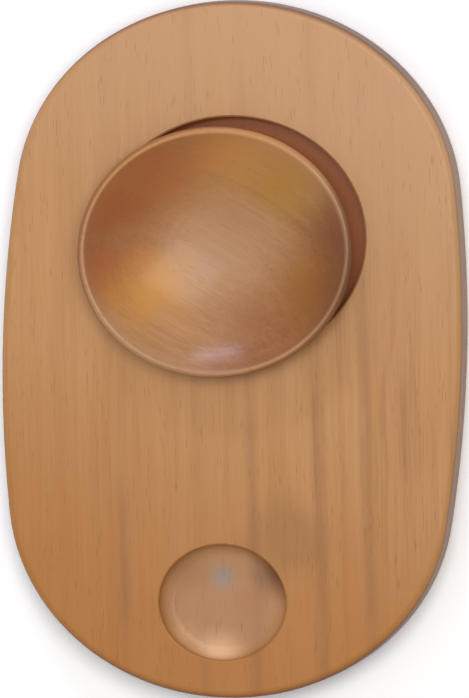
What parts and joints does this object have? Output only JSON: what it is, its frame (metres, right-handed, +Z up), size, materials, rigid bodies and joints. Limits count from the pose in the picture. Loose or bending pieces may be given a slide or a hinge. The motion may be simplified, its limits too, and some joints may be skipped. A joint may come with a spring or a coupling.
{
  "type": "offering plate",
  "caption": "Oblong wooden board with rounded ends, an oval seat holding a loose oval bowl that lifts out, and a smaller oval dish sunk near the other end.",
  "frame": {"origin": "middle of the board's underside", "axes": "+Y along the board towards the bowl's end, +X across the board, +Z up out of the board's face"},
  "size_m": [0.2, 0.299, 0.0313],
  "materials": {
    "board_wood": "satin lacquer",
    "bowl_wood": "semi-gloss lacquer"
  },
  "bodies": {
    "board": {"board_stave_1": "board_wood", "board_stave_2": "board_wood", "board_stave_3": "board_wood", "board_stave_4": "board_wood", "board_stave_5": "board_wood", "board_stave_6": "board_wood"},
    "bowl": {"bowl": "bowl_wood"}
  },
  "joints": [
    {"name": "bowl_lift", "type": "slide", "parent": "board", "child": "bowl", "axis": [0, 0, 1], "range_m": [0, 0.05]}
  ]
}
